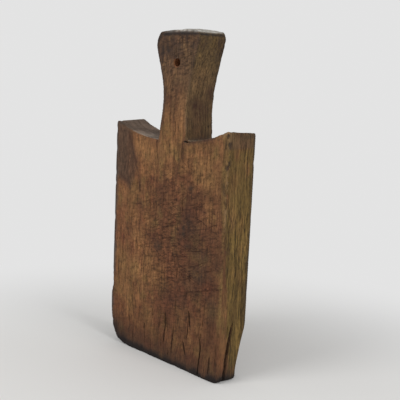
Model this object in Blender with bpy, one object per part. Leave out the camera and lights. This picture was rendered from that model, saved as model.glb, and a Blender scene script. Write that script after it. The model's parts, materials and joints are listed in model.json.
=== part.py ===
"""Thick wooden board with a fishtail handle and a hanging hole, cut from one plank.

The board stands on its lower end. X runs across its width, Y through its thickness with the
front face at -Y, and Z along the grain from the lower end up to the top of the handle.
Lengths are in millimetres until a mesh is made.
"""
import math

import bmesh
import bpy

MM = 0.001

# Plank
THICKNESS = 41.4
LEFT_SIDE_X = -92.5
RIGHT_SIDE_X = 92.0

# Left side: the plank swells a little near the lower end, above a rounded, worn corner.
BULGE_HEIGHT = 60.0
BULGE_LENGTH = 24.0
BULGE_DEPTH = 2.3
WORN_CORNER_TOP = 25.0
WORN_CORNER_REACH = 26.5
LEFT_SIDE_STEPS = 16

# Lower right corner, a flatter and smaller rounding
FOOT_CORNER_REACH = 10.0
FOOT_CORNER_HEIGHT = 4.0

# Shoulders: each rises from the handle's root to a pointed tip at the plank's side.
LEFT_ROOT = (-17.5, 260.3)
LEFT_TIP_FRONT = 276.6
LEFT_TIP_BACK = 278.2
LEFT_SCOOP_POWER = 2.0
RIGHT_ROOT = (26.8, 262.6)
RIGHT_TIP_FRONT = 279.2
RIGHT_TIP_BACK = 276.6
RIGHT_SCOOP_POWER = 1.6
SCOOP_STEPS = 12

# Handle: narrow at the waist, wide at the head
LEFT_WAIST = (-11.4, 308.0)
RIGHT_WAIST = (25.0, 299.0)
LEFT_HEAD = (-25.6, 366.0)
RIGHT_HEAD = (41.0, 373.0)
HANDLE_STEPS = 9

# Head: its end is cut askew, highest at the back left corner.
HEAD_TOP_LEFT_FRONT = 380.8
HEAD_TOP_LEFT_BACK = 387.0
HEAD_TOP_RIGHT_FRONT = 382.4
HEAD_TOP_RIGHT_BACK = 383.0
HEAD_CROWN = 0.9
HEAD_LEFT_CORNER = 9.0
HEAD_RIGHT_CORNER = 7.0
CORNER_STEPS = 6

# Hanging hole, with a lip worn round by the hook it hung on
HOLE_CENTRE = (7.2, 347.5)
HOLE_RADIUS = 4.5
HOLE_LIP = 0.8
HOLE_LIP_DEPTH = 1.4
HOLE_SIDES = 40

# A long splinter has broken away from the rear right edge at the lower end.
SPLIT_HEIGHT = 68.0
SPLIT_THROUGH_THICKNESS = 14.9
SPLIT_ACROSS_WIDTH = 13.0

# Rounded edges
EDGE_ROUNDING = 1.8
EDGE_SEGMENTS = 3
EDGE_ANGLE = math.radians(32.0)

WOOD_COLOUR = (0.20, 0.105, 0.045, 1.0)
WOOD_ROUGHNESS = 0.72


def clear_scene():
    for old in list(bpy.data.objects):
        bpy.data.objects.remove(old, do_unlink=True)


def elliptic_corner(centre, reach, rise, start, end, steps):
    """Points on a quarter ellipse about centre, from the start angle to the end angle."""
    points = []
    for step in range(steps + 1):
        angle = math.radians(start + (end - start) * step / steps)
        points.append((centre[0] + reach * math.cos(angle), centre[1] + rise * math.sin(angle)))
    return points


def bezier(start, start_pull, end_pull, end, steps):
    """Points on a cubic Bezier curve, without its start."""
    points = []
    for step in range(1, steps + 1):
        t = step / steps
        weights = ((1 - t) ** 3, 3 * t * (1 - t) ** 2, 3 * t * t * (1 - t), t ** 3)
        corners = (start, start_pull, end_pull, end)
        points.append(tuple(sum(w * c[axis] for w, c in zip(weights, corners)) for axis in (0, 1)))
    return points


def scoop(root, tip, power):
    """Points along a shoulder from the handle's root out to the tip, the root included."""
    points = []
    for step in range(SCOOP_STEPS + 1):
        t = step / SCOOP_STEPS
        points.append((root[0] + (tip[0] - root[0]) * t, root[1] + (tip[1] - root[1]) * t ** power))
    return points


def left_side():
    """Points up the left side, from the worn corner to just below the shoulder's tip."""
    points = []
    for step in range(1, LEFT_SIDE_STEPS + 1):
        height = WORN_CORNER_TOP + (LEFT_TIP_FRONT - WORN_CORNER_TOP) * step / LEFT_SIDE_STEPS
        points.append((left_side_x(height), height))
    return points[:-1]


def left_side_x(height):
    swelling = math.exp(-((height - BULGE_HEIGHT) / BULGE_LENGTH) ** 2)
    return LEFT_SIDE_X - BULGE_DEPTH * swelling


def handle_right_edge():
    """Points up the handle's right edge, from the root to the head."""
    root, waist, head = RIGHT_ROOT, RIGHT_WAIST, RIGHT_HEAD
    lower = bezier(root, (26.0, 280.0), (24.8, 290.0), waist, HANDLE_STEPS)
    upper = bezier(waist, (25.4, 318.0), (34.0, 346.0), head, HANDLE_STEPS)
    return lower + upper


def handle_left_edge():
    """Points down the handle's left edge, from the head to the root."""
    root, waist, head = LEFT_ROOT, LEFT_WAIST, LEFT_HEAD
    upper = bezier(head, (-21.5, 348.0), (-11.4, 330.0), waist, HANDLE_STEPS)
    lower = bezier(waist, (-11.4, 292.0), (-15.5, 280.0), root, HANDLE_STEPS)
    return upper + lower


def head_outline(top_left, top_right):
    """Points over the head from right to left: corner, crowned end, corner."""
    right_centre = (RIGHT_HEAD[0] - HEAD_RIGHT_CORNER, RIGHT_HEAD[1])
    left_centre = (LEFT_HEAD[0] + HEAD_LEFT_CORNER, LEFT_HEAD[1])
    right = elliptic_corner(right_centre, HEAD_RIGHT_CORNER, top_right - RIGHT_HEAD[1], 0, 90, CORNER_STEPS)
    left = elliptic_corner(left_centre, HEAD_LEFT_CORNER, top_left - LEFT_HEAD[1], 90, 180, CORNER_STEPS)
    span = left[0][0] - right[-1][0]
    crown = []
    for third in (0.33, 0.67):
        level = top_right + (top_left - top_right) * third
        crown.append((right[-1][0] + span * third, level + HEAD_CROWN))
    return right[1:] + crown + left


def outline(left_tip, right_tip, top_left, top_right):
    """The board's outline in the XZ plane, anticlockwise from the lower left corner."""
    left_centre = (left_side_x(WORN_CORNER_TOP) + WORN_CORNER_REACH, WORN_CORNER_TOP)
    right_centre = (RIGHT_SIDE_X - FOOT_CORNER_REACH, FOOT_CORNER_HEIGHT)
    points = elliptic_corner(left_centre, WORN_CORNER_REACH, WORN_CORNER_TOP, 180, 270, 8)
    points += elliptic_corner(right_centre, FOOT_CORNER_REACH, FOOT_CORNER_HEIGHT, 270, 360, 4)
    points += reversed(scoop(RIGHT_ROOT, (RIGHT_SIDE_X, right_tip), RIGHT_SCOOP_POWER))
    points += handle_right_edge()
    points += head_outline(top_left, top_right)
    points += handle_left_edge()
    points += scoop(LEFT_ROOT, (LEFT_SIDE_X, left_tip), LEFT_SCOOP_POWER)[1:]
    points += reversed(left_side())
    return points


def loft_faces(mesh, front, back):
    """Joins two outlines with a wall and closes each with a flat face."""
    half = THICKNESS / 2
    rings = []
    for points, depth in ((front, -half), (back, half)):
        rings.append([mesh.verts.new((x * MM, depth * MM, z * MM)) for x, z in points])
    count = len(front)
    for i in range(count):
        j = (i + 1) % count
        mesh.faces.new((rings[0][j], rings[0][i], rings[1][i], rings[1][j]))
    mesh.faces.new(rings[0])
    mesh.faces.new(list(reversed(rings[1])))


def break_off_splinter(mesh, side_x):
    """Cuts the rear right edge away along a plane that leans with the grain."""
    half = THICKNESS / 2
    top = (side_x, half, SPLIT_HEIGHT)
    fall = (0.0, -SPLIT_THROUGH_THICKNESS, -SPLIT_HEIGHT)
    across = (-SPLIT_ACROSS_WIDTH, 0.0, -SPLIT_HEIGHT)
    normal = (
        fall[1] * across[2] - fall[2] * across[1],
        fall[2] * across[0] - fall[0] * across[2],
        fall[0] * across[1] - fall[1] * across[0],
    )
    everything = mesh.verts[:] + mesh.edges[:] + mesh.faces[:]
    cut = bmesh.ops.bisect_plane(
        mesh, geom=everything, dist=0.00001, plane_co=[value * MM for value in top],
        plane_no=normal, clear_outer=True)
    rim = [item for item in cut["geom_cut"] if isinstance(item, bmesh.types.BMEdge)]
    bmesh.ops.contextual_create(mesh, geom=rim)


def wood_material():
    material = bpy.data.materials.new("old_wood")
    material.use_nodes = True
    shader = material.node_tree.nodes["Principled BSDF"]
    shader.inputs["Base Color"].default_value = WOOD_COLOUR
    shader.inputs["Roughness"].default_value = WOOD_ROUGHNESS
    shader.inputs["Metallic"].default_value = 0.0
    return material


def hole_cutter(shift):
    """A turned cutter on the hole's axis that flares at both faces of the handle."""
    half = THICKNESS / 2
    lip_start = half - HOLE_LIP_DEPTH
    flare = HOLE_RADIUS + HOLE_LIP
    beyond = half + HOLE_LIP_DEPTH
    wide = flare + HOLE_LIP
    profile = [(0.0, beyond), (wide, beyond), (flare, half), (HOLE_RADIUS, lip_start)]
    profile += [(radius, -depth) for radius, depth in reversed(profile)]
    mesh = bmesh.new()
    points = [mesh.verts.new((radius * MM, 0.0, depth * MM)) for radius, depth in profile]
    lines = [mesh.edges.new(pair) for pair in zip(points, points[1:])]
    bmesh.ops.spin(
        mesh, geom=points + lines, axis=(0, 0, 1), cent=(0, 0, 0), angle=math.tau,
        steps=HOLE_SIDES, use_merge=True, use_normal_flip=False)
    bmesh.ops.remove_doubles(mesh, verts=mesh.verts[:], dist=0.000001)
    bmesh.ops.recalc_face_normals(mesh, faces=mesh.faces[:])
    cutter = add_object("hanging_hole_cutter", mesh)
    cutter.rotation_euler = (math.radians(90), 0, 0)
    cutter.location = ((HOLE_CENTRE[0] + shift) * MM, 0, HOLE_CENTRE[1] * MM)
    cutter.hide_render = True
    cutter.display_type = "WIRE"
    return cutter


def add_object(name, mesh):
    data = bpy.data.meshes.new(name)
    mesh.to_mesh(data)
    mesh.free()
    item = bpy.data.objects.new(name, data)
    bpy.context.scene.collection.objects.link(item)
    return item


def centred(points, shift):
    return [(x + shift, z) for x, z in points]


def build_board():
    front = outline(LEFT_TIP_FRONT, RIGHT_TIP_FRONT, HEAD_TOP_LEFT_FRONT, HEAD_TOP_RIGHT_FRONT)
    back = outline(LEFT_TIP_BACK, RIGHT_TIP_BACK, HEAD_TOP_LEFT_BACK, HEAD_TOP_RIGHT_BACK)
    across = [x for x, z in front]
    shift = -(min(across) + max(across)) / 2

    mesh = bmesh.new()
    loft_faces(mesh, centred(front, shift), centred(back, shift))
    break_off_splinter(mesh, RIGHT_SIDE_X + shift)
    bmesh.ops.recalc_face_normals(mesh, faces=mesh.faces[:])
    board = add_object("board", mesh)
    board.data.materials.append(wood_material())
    board.data.shade_smooth()
    board.data.set_sharp_from_angle(angle=EDGE_ANGLE)

    rounding = board.modifiers.new("worn_edges", "BEVEL")
    rounding.width = EDGE_ROUNDING * MM
    rounding.segments = EDGE_SEGMENTS
    rounding.limit_method = "ANGLE"
    rounding.angle_limit = EDGE_ANGLE

    drilling = board.modifiers.new("hanging_hole", "BOOLEAN")
    drilling.operation = "DIFFERENCE"
    drilling.solver = "EXACT"
    drilling.object = hole_cutter(shift)


clear_scene()
build_board()
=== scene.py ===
"""Looks of a thick old wooden board with a fishtail handle: worn edges, drying cracks, knife cuts.

The board stands on its lower end: X across the width, front face at -Y, Z along the grain.
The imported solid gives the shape. Its skin is meshed again, finely where there is detail, worn
round at its edges and carved with the marks of use. Lengths are in metres, but the lists of
marks are in millimetres, as (across, up) on the face they are cut into.
"""
import functools
import itertools
import json
import math
import random
from types import SimpleNamespace

import bmesh
import bpy
import numpy as np
from mathutils import Euler, Matrix, Vector
from mathutils.bvhtree import BVHTree


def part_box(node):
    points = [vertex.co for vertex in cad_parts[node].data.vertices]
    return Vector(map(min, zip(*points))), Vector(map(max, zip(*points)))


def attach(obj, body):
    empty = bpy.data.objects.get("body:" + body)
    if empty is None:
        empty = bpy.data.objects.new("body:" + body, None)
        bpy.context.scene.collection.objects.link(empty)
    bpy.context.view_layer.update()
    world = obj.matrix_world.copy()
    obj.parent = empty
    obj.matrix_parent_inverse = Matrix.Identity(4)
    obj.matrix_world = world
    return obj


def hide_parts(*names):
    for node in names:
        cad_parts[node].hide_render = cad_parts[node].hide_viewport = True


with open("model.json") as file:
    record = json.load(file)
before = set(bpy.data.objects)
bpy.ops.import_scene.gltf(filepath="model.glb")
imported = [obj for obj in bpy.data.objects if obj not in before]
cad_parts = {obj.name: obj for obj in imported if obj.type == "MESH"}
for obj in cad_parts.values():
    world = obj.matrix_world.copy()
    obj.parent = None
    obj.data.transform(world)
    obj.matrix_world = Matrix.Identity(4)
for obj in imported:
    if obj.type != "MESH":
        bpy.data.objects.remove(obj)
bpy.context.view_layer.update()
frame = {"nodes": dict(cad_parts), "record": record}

MM = 0.001
LOW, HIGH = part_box("board")
HALF_THICKNESS = (HIGH.y - LOW.y) / 2
HEIGHT = HIGH.z - LOW.z

# The hanging hole's opening in the record gives the hole's axis.
HOLE_BOX = frame["record"]["physics"]["openings"][0]["box_m"]
HOLE_X = (HOLE_BOX[0][0] + HOLE_BOX[1][0]) / 2
HOLE_Z = (HOLE_BOX[0][2] + HOLE_BOX[1][2]) / 2

# Camera: a 67.5 mm lens at the front right, looking slightly down
CAMERA_PLACE = (0.6199, -0.5943, 0.3379)
CAMERA_TURN = (80.355, -2.595, 45.032)
CAMERA_LENS = 67.5

# The surround's strength as the camera sees it, and as it lights the board
SURROUND = 0.77
SURROUND_LIGHT = 0.5

# Mesh: its cells over the skin, near the edges and in the marks, in metres. The cells are longer
# along the grain, and a mark's are longer along the mark.
CELL = 0.00144
GRAIN_STRETCH = 2.0
EDGE_CELL = 0.0009
MARK_CELL = 0.00042
ALONG_MARK = 0.33

# How far the edges, the sharper upright edges and the top end stand proud, in millimetres
EDGE_PROUD = 0.45
SHARP_PROUD = 1.1
TOP_PROUD = 0.5


# ---- Noise and small helpers ----

def noise3(points, size, seed):
    """Smooth noise between -1 and 1 at each point; size is the wave's length along X, Y and Z."""
    cell = points / np.asarray(size) + seed * 7.137
    base = np.floor(cell).astype(np.int64)
    t = cell - base
    t = t * t * t * (t * (t * 6 - 15) + 10)
    total = np.zeros(len(points))
    for corner in itertools.product((0, 1), repeat=3):
        key = base + corner
        value = key[:, 0] * 73856093 ^ key[:, 1] * 19349663 ^ key[:, 2] * 83492791 ^ seed * 2654435
        value = (value ^ value >> 13) * 1274126177
        value = (value ^ value >> 16) & 0xFFFF
        weight = np.prod(np.where(corner, t, 1 - t), axis=1)
        total += weight * (value / 32767.5 - 1)
    return total


def smoothstep(low, high, value):
    t = np.clip((value - low) / (high - low), 0, 1)
    return t * t * (3 - 2 * t)


def fade(distance, reach):
    """1 where the distance is 0, falling to 0 a little beyond the reach."""
    return np.exp(-(distance / reach) ** 2)


def arrays(mesh):
    """A mesh's points and point normals as arrays."""
    points = np.empty(len(mesh.vertices) * 3)
    mesh.vertices.foreach_get("co", points)
    normals = np.empty(len(mesh.vertices) * 3)
    mesh.vertex_normals.foreach_get("vector", normals)
    return points.reshape(-1, 3), normals.reshape(-1, 3)


def put_points(mesh, points):
    mesh.vertices.foreach_set("co", points.ravel())
    mesh.update()


def polyline_distance(flat, line):
    """Each 2-D point's distance to a polyline, how far along it (0 to 1) and the nearest point."""
    line = np.asarray(line, float)
    lengths = np.linalg.norm(np.diff(line, axis=0), axis=1)
    whole = lengths.sum()
    best = np.full(len(flat), np.inf)
    along = np.zeros(len(flat))
    nearest = np.zeros((len(flat), 2))
    passed = 0.0
    for start, end, length in zip(line, line[1:], lengths):
        step = (end - start) / length
        t = np.clip((flat - start) @ step, 0, length)
        foot = start + t[:, None] * step
        distance = np.linalg.norm(flat - foot, axis=1)
        closer = distance < best
        best[closer] = distance[closer]
        along[closer] = (passed + t[closer]) / whole
        nearest[closer] = foot[closer]
        passed += length
    return best, along, nearest


# ---- Marks of use, in millimetres ----

# Each face's axis across and its outward direction
FACES = {
    "front": (0, np.array((0.0, -1.0, 0.0))),
    "back": (0, np.array((0.0, 1.0, 0.0))),
    "right": (1, np.array((1.0, 0.0, 0.0))),
    "left": (1, np.array((-1.0, 0.0, 0.0))),
}


class Mark:
    """A groove: a face's name, its points, half its width and its depth, all in millimetres."""

    def __init__(self, face, points, half_width, depth, open_end=False, kind="crack"):
        self.across, self.outward = FACES[face]
        self.points = np.array(points, float) * MM
        self.half_width = half_width * MM
        self.depth = depth * MM
        self.open_end = open_end
        self.kind = kind
        self.steep = abs(self.points[-1][1] - self.points[0][1]) > abs(
            self.points[-1][0] - self.points[0][0])
        self.low = self.points.min(0)
        self.high = self.points.max(0)

    def near(self, points, normals, margin):
        """Which points lie on the mark's face within a margin of the mark's box."""
        flat = points[:, (self.across, 2)]
        inside = np.all((flat > self.low - margin) & (flat < self.high + margin), axis=1)
        return np.nonzero(inside & (normals @ self.outward > 0.35))[0]

    def taper(self, along):
        """1 in the middle and 0 at the closed ends."""
        swell = np.clip(np.minimum(along, 1 - along) * 4, 0, 1)
        if self.open_end:
            swell = np.clip(along * 3, 0, 1)
        return np.sqrt(swell)


def wander(generator, start, end, sway, steps):
    """A line from start to end that strays sideways a little, as a split in wood does."""
    start, end = np.array(start, float), np.array(end, float)
    side = np.array((-(end - start)[1], (end - start)[0]))
    side /= np.linalg.norm(side)
    points = [start]
    stray = 0.0
    for step in range(1, steps):
        stray += generator.uniform(-sway, sway)
        points.append(start + (end - start) * step / steps + side * stray)
    points.append(end)
    return points


# Each drying crack: its points, half its width, its depth, and True if its lower end runs out
# through the foot or into a wider crack
DRYING_CRACKS = {
    "front": (
        (((5.6, 62), (6.6, 46), (4.0, 33), (3.4, 20)), 0.44, 1.7),
        (((20.6, 50), (19.0, 34), (17.4, 13)), 0.4, 1.5), (((22.0, 80), (21.4, 66)), 0.272, 0.8),
        (((43.6, 73), (44.6, 66), (46, 56)), 0.72, 3.0, True),
        (((43.2, 54), (43.4, 46), (42.2, 38)), 0.32, 1.3),
        (((36, 35), (38.6, 27), (40.4, 19)), 0.6, 2.6),
        (((64.6, 53), (63.4, 44), (65, 34), (62.8, 14), (62.2, 3)), 0.6, 2.8, True),
        (((79.4, 30), (79, 18), (77.6, 7)), 0.44, 1.8), (((88.2, 46), (88.8, 34), (88, 20)), 0.24, 1.0),
        (((-18.8, 261), (-18.8, 250), (-17.8, 236)), 0.24, 0.8),
        (((23.2, 262), (22.6, 250), (23.2, 238)), 0.24, 1.2),
        (((24, 262.0), (31, 262.4), (40, 264.6)), 0.64, 3.0),
        (((25.4, 197), (27, 190), (26.6, 183)), 0.36, 0.9),
        (((-5.6, 202), (-5, 195), (-6.2, 188)), 0.36, 0.9), (((-18, 186), (-17.6, 178)), 0.32, 0.7),
        (((-38.4, 172), (-37.6, 160)), 0.272, 1.0), (((-60.4, 174), (-59.6, 160)), 0.288, 1.0),
        (((-30.6, 38), (-31.6, 30)), 0.4, 1.2), (((-47, 205), (-46.4, 195)), 0.32, 0.7),
        (((22, 118), (21.4, 104)), 0.36, 1.0), (((67.6, 88), (68.4, 76)), 0.32, 0.8),
        (((66.6, 68), (67.2, 60)), 0.32, 1.0), (((7.6, 352), (6.8, 372)), 0.176, 0.7),
        (((1.6, 262), (2.6, 284), (1.6, 300)), 0.192, 0.7),
        (((11.4, 262), (10.6, 276), (11.2, 288)), 0.192, 0.7),
    ),
    "right": (
        (((0.6, 69), (-2.0, 58), (-5.0, 44), (-8.0, 26), (-10.4, 1)), 1.7, 7.5, True),
        (((-7, 66), (-8.4, 52)), 0.4, 1.0), (((6, 190), (7, 172), (6, 158)), 0.3, 1.0),
        (((-9, 240), (-8, 216)), 0.26, 0.8), (((11, 128), (12, 100)), 0.26, 0.8),
    ),
    "left": (
        (((4, 58), (5, 34), (3, 6)), 0.45, 2.0, True), (((-6, 210), (-5, 180)), 0.3, 1.0),
        (((10, 262), (9, 236)), 0.3, 1.0),
    ),
    "back": (
        (((-32, 92), (-30, 60), (-31, 30), (-29, 2)), 0.7, 2.8, True),
        (((12, 64), (13, 40), (11, 12)), 0.5, 1.8), (((48, 58), (49, 34), (47, 3)), 0.6, 2.2, True),
        (((-64, 262), (-62, 238)), 0.4, 1.4), (((-8, 258), (-6, 230), (-8, 212)), 0.45, 1.6),
        (((30, 200), (32, 170)), 0.35, 1.1), (((6, 330), (7, 306)), 0.3, 0.9),
    ),
}


def drying_cracks():
    """The long cracks that opened along the grain."""
    return [Mark(face, points, half_width, depth, any(open_end))
            for face, rows in DRYING_CRACKS.items()
            for points, half_width, depth, *open_end in rows]


def short_checks(generator):
    """Hair cracks along the grain, most of them near the lower end and on the knife-worn field."""
    marks = []
    fields = (("front", 46, 84), ("back", 22, 84), ("right", 12, 17), ("left", 10, 17))
    for face, count, reach in fields:
        for _ in range(count):
            across = generator.uniform(-reach, reach)
            up = 250 * generator.random() ** 1.6 + 6
            length = generator.uniform(6, 22)
            line = wander(generator, (across, up + length), (across, up), 0.25, 4)
            width = generator.uniform(0.16, 0.28)
            marks.append(Mark(face, line, width, width * 3.2))
    return marks


# The deep knife cuts on the front face, the widest first
DEEP_CUTS = (
    ((27, 103.4), (36, 107), (49, 113)), ((36, 92), (60, 99)), ((57, 97), (75, 104), (94, 109)),
    ((41, 188), (52, 194), (57, 200.6)), ((47, 180), (58, 177.6), (69, 171.6)),
    ((69, 172.6), (76, 176), (83, 178.6)), ((0, 164.6), (10, 167.4), (21, 171)),
    ((-62, 180), (-39, 181.4)), ((-36, 186), (-22, 190)), ((-50, 130), (-34, 131.4), (-18, 133.6)),
    ((-34, 119.6), (-22, 124)), ((-4, 118), (10, 123.6), (20, 129)), ((12, 129), (38, 134)),
    ((40, 121), (54, 127.6), (70, 135)), ((24, 112), (38, 117.6)), ((60, 120), (84, 128.4)),
    ((25, 150), (44, 153.4)), ((36, 142), (58, 147)), ((-12, 184), (8, 190)), ((8, 177), (26, 181)),
    ((66, 160), (84, 163)), ((-8, 146), (14, 152)), ((26, 90), (44, 94.6)), ((4, 213), (18, 211)),
)
WIDE_CUTS = 8


def light_cut(face, across, up, lean, reach, width, depth):
    """A straight cut through a point, leaning by some degrees, with its reach to either side."""
    turn = math.radians(lean)
    step = np.array((math.cos(turn), math.sin(turn))) * reach
    middle = np.array((across, up))
    return Mark(face, (middle - step, middle + step), width, depth, kind="cut")


def knife_cuts(generator):
    """The deep cuts, and a field of light ones on both broad faces."""
    marks = []
    for number, points in enumerate(DEEP_CUTS):
        width = generator.uniform(0.34, 0.5) + (0.24 if number < WIDE_CUTS else 0)
        marks.append(Mark("front", points, width, width * 1.1, kind="cut"))
    for _ in range(84):
        across = float(np.clip(generator.gauss(14, 34), -80, 84))
        up = float(np.clip(generator.gauss(142, 42), 30, 250))
        lean = generator.gauss(14, 8)
        if generator.random() < 0.2:
            lean = generator.gauss(-16, 10)
        reach = generator.uniform(3, 12)
        width = generator.uniform(0.2, 0.34)
        marks.append(light_cut("front", across, up, lean, reach, width, width))
    for _ in range(16):
        across = generator.uniform(-70, 70)
        up = generator.uniform(60, 230)
        lean = generator.gauss(5, 30)
        marks.append(light_cut("back", across, up, lean, generator.uniform(6, 18), 0.25, 0.4))
    return marks


# Bites out of the edges: the place (x, y, z), the reach and the depth, in millimetres. The one with
# a depth below 0 is a lump that stands proud at the foot.
EDGE_BITES = (
    (-92, -20, 74, 6, 1.3), (-92, -20, 84, 4, 0.8), (-91, -20, 27, 4, 1.3), (-88, -20, 15, 5, 0.9),
    (-66, -20, 3, 5, 1.0), (-30, -20, 1, 6, 0.7), (24, -20, 1, 5, 0.8), (93, -20, 6, 6, 0.6),
    (91, 4, 1, 8, -1.8), (93, -20, 250, 5, 1.2), (93, -20, 231, 6, 1.4), (93, -20, 214, 4, 1.0),
    (93, 20, 244, 4, 0.8), (93, 20, 186, 5, 0.3), (93, 20, 98, 5, 0.3), (-92, 20, 210, 6, 1.0),
    (-92, 20, 120, 7, 1.2), (-92, -20, 243, 5, 0.6), (60, 20, 2, 7, 1.6), (-14, 20, 1, 6, 1.0),
    (-90, 20, 20, 8, 1.6), (42, 20, 352, 5, 0.8), (-24, -20, 378, 5, 0.5), (26, -20, 300, 5, 0.6),
    (24, 20, 322, 6, 0.9), (-92, -20, 158, 4, 0.6), (-92, -20, 200, 3, 0.6), (70, -20, 273, 5, 0.8),
    (-74, 20, 276, 5, 0.9),
)


# ---- The board's mesh ----

def cad_skin():
    """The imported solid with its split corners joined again, and a tree to find its surface."""
    skin = bmesh.new()
    skin.from_mesh(frame["nodes"]["board"].data)
    bmesh.ops.remove_doubles(skin, verts=skin.verts[:], dist=0.000001)
    return skin


# Places across the handle where its sloping top end is measured, in millimetres, and how far
# inside the front and back faces
CREST_X = (-23, -20, -15, 2, 19, 37)
CREST_INSET = 1.8 * MM


def crest_heights(y):
    """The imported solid's height at those places, at one depth into its thickness."""
    skin = cad_skin()
    tree = BVHTree.FromBMesh(skin)
    skin.free()
    down = Vector((0, 0, -1))
    return [tree.ray_cast(Vector((x * MM, y, 1)), down)[0].z for x in CREST_X]


CREST_FRONT = crest_heights(LOW.y + CREST_INSET)
CREST_BACK = crest_heights(HIGH.y - CREST_INSET)


def middle_outline(skin):
    """The outline's segments, as pairs of (x, z), from a cut through the middle of the plank."""
    half = skin.copy()
    everything = half.verts[:] + half.edges[:] + half.faces[:]
    cut = bmesh.ops.bisect_plane(half, geom=everything, plane_co=(0, 0, 0), plane_no=(0, 1, 0))
    edges = [item for item in cut["geom_cut"] if isinstance(item, bmesh.types.BMEdge)]
    segments = np.array([[(v.co.x, v.co.z) for v in edge.verts] for edge in edges])
    half.free()
    middle = segments.mean(1) - np.array((HOLE_X, HOLE_Z))
    return segments[np.linalg.norm(middle, axis=1) > 7 * MM]


def outline_distance(flat, segments):
    """Each (x, z) point's distance to the outline."""
    return functools.reduce(np.minimum, (polyline_distance(flat, ends)[0] for ends in segments))


def below_crest(points):
    """How far each point lies below the handle's sloping top end."""
    x, y = points[:, 0] / MM, points[:, 1]
    at_front = np.interp(x, CREST_X, CREST_FRONT)
    at_back = np.interp(x, CREST_X, CREST_BACK)
    backwards = (y + HALF_THICKNESS) / (2 * HALF_THICKNESS)
    return at_front + (at_back - at_front) * backwards - points[:, 2]


def corner_distance(points, outline):
    """Each point's distance to the nearest edge of the front or back face."""
    from_outline = outline_distance(points[:, (0, 2)], outline)
    from_crest = np.where(points[:, 2] > 0.366, np.abs(below_crest(points)), 1)
    return np.hypot(HALF_THICKNESS - np.abs(points[:, 1]), np.minimum(from_outline, from_crest))


def even_mesh(skin):
    """The skin in even cells, longer along the grain than across it."""
    squash = Matrix.Scale(1 / GRAIN_STRETCH, 4, (0, 0, 1))
    data = bpy.data.meshes.new("even")
    skin.to_mesh(data)
    data.transform(squash)
    carrier = bpy.data.objects.new("even", data)
    bpy.context.scene.collection.objects.link(carrier)
    cells = carrier.modifiers.new("cells", "REMESH")
    cells.mode = "VOXEL"
    cells.voxel_size = CELL
    evaluated = carrier.evaluated_get(bpy.context.evaluated_depsgraph_get())
    even = bpy.data.meshes.new_from_object(evaluated)
    even.transform(squash.inverted())
    bpy.data.objects.remove(carrier)
    mesh = bmesh.new()
    mesh.from_mesh(even)
    bpy.data.meshes.remove(even)
    bmesh.ops.triangulate(mesh, faces=mesh.faces[:])
    return mesh


def settle(vertices, tree):
    """Moves points onto the solid's surface."""
    for vertex in vertices:
        place = tree.find_nearest(vertex.co)[0]
        if place is not None:
            vertex.co = place


def long_edges(mesh, marks, outline):
    """The edges that are too long for the detail near them."""
    ends = np.array([[v.co for v in edge.verts] for edge in mesh.edges]).reshape(-1, 2, 3)
    normals = np.array([edge.verts[0].normal + edge.verts[1].normal for edge in mesh.edges])
    normals /= np.linalg.norm(normals, axis=1)[:, None] + 1e-9
    middle = ends.mean(1)
    span = ends[:, 1] - ends[:, 0]
    length = np.linalg.norm(span, axis=1)
    corner = corner_distance(middle, outline)
    squashed = np.linalg.norm(span * (1, 1, 0.5), axis=1)
    wanted = (corner < 3.2 * MM) & (squashed > EDGE_CELL * 1.5)
    from_hole = np.hypot(middle[:, 0] - HOLE_X, middle[:, 2] - HOLE_Z)
    wanted |= (from_hole < 6.5 * MM) & (length > EDGE_CELL)
    for mark in marks:
        margin = mark.half_width * 2.0 + 0.3 * MM
        near = mark.near(middle, normals, margin)
        if not len(near):
            continue
        shrink = (1, 1, ALONG_MARK) if mark.steep else (ALONG_MARK, 1, 1)
        across = np.linalg.norm(span[near] * shrink, axis=1)
        distance = polyline_distance(middle[near][:, (mark.across, 2)], mark.points)[0]
        cell = max(MARK_CELL, mark.half_width * 0.9)
        wanted[near[(distance < margin) & (across > cell * 1.5)]] = True
    return [edge for edge, split in zip(mesh.edges, wanted) if split]


def refine(mesh, tree, marks, outline, rounds):
    for _ in range(rounds):
        mesh.normal_update()
        edges = long_edges(mesh, marks, outline)
        if not edges:
            break
        made = bmesh.ops.subdivide_edges(mesh, edges=edges, cuts=1)
        fresh = [item for item in made["geom_inner"] if isinstance(item, bmesh.types.BMVert)]
        settle(fresh, tree)
        bmesh.ops.triangulate(mesh, faces=[face for face in mesh.faces if len(face.verts) > 3])


def relax(points, edges, amount, rounds):
    """Draws each point towards the middle of its neighbours, by its own amount."""
    count = len(points)
    degree = np.bincount(edges.ravel(), minlength=count)[:, None]
    for _ in range(rounds):
        total = np.zeros_like(points)
        for axis in range(3):
            column = points[:, axis]
            total[:, axis] = np.bincount(edges[:, 0], column[edges[:, 1]], count)
            total[:, axis] += np.bincount(edges[:, 1], column[edges[:, 0]], count)
        points = points + (total / degree - points) * amount[:, None]
    return points


def edge_wear(points):
    """How far the edges are worn round at each point, 0 to 1."""
    x, z = points[:, 0], points[:, 2]
    wear = 0.14 + 0.2 * noise3(points, (0.03, 0.03, 0.045), 3)
    wear += 0.45 * smoothstep(0.08, 0.09, x) * front_side(points) * smoothstep(0.13, 0.09, z)
    return np.clip(wear, 0.04, 0.9)


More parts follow.
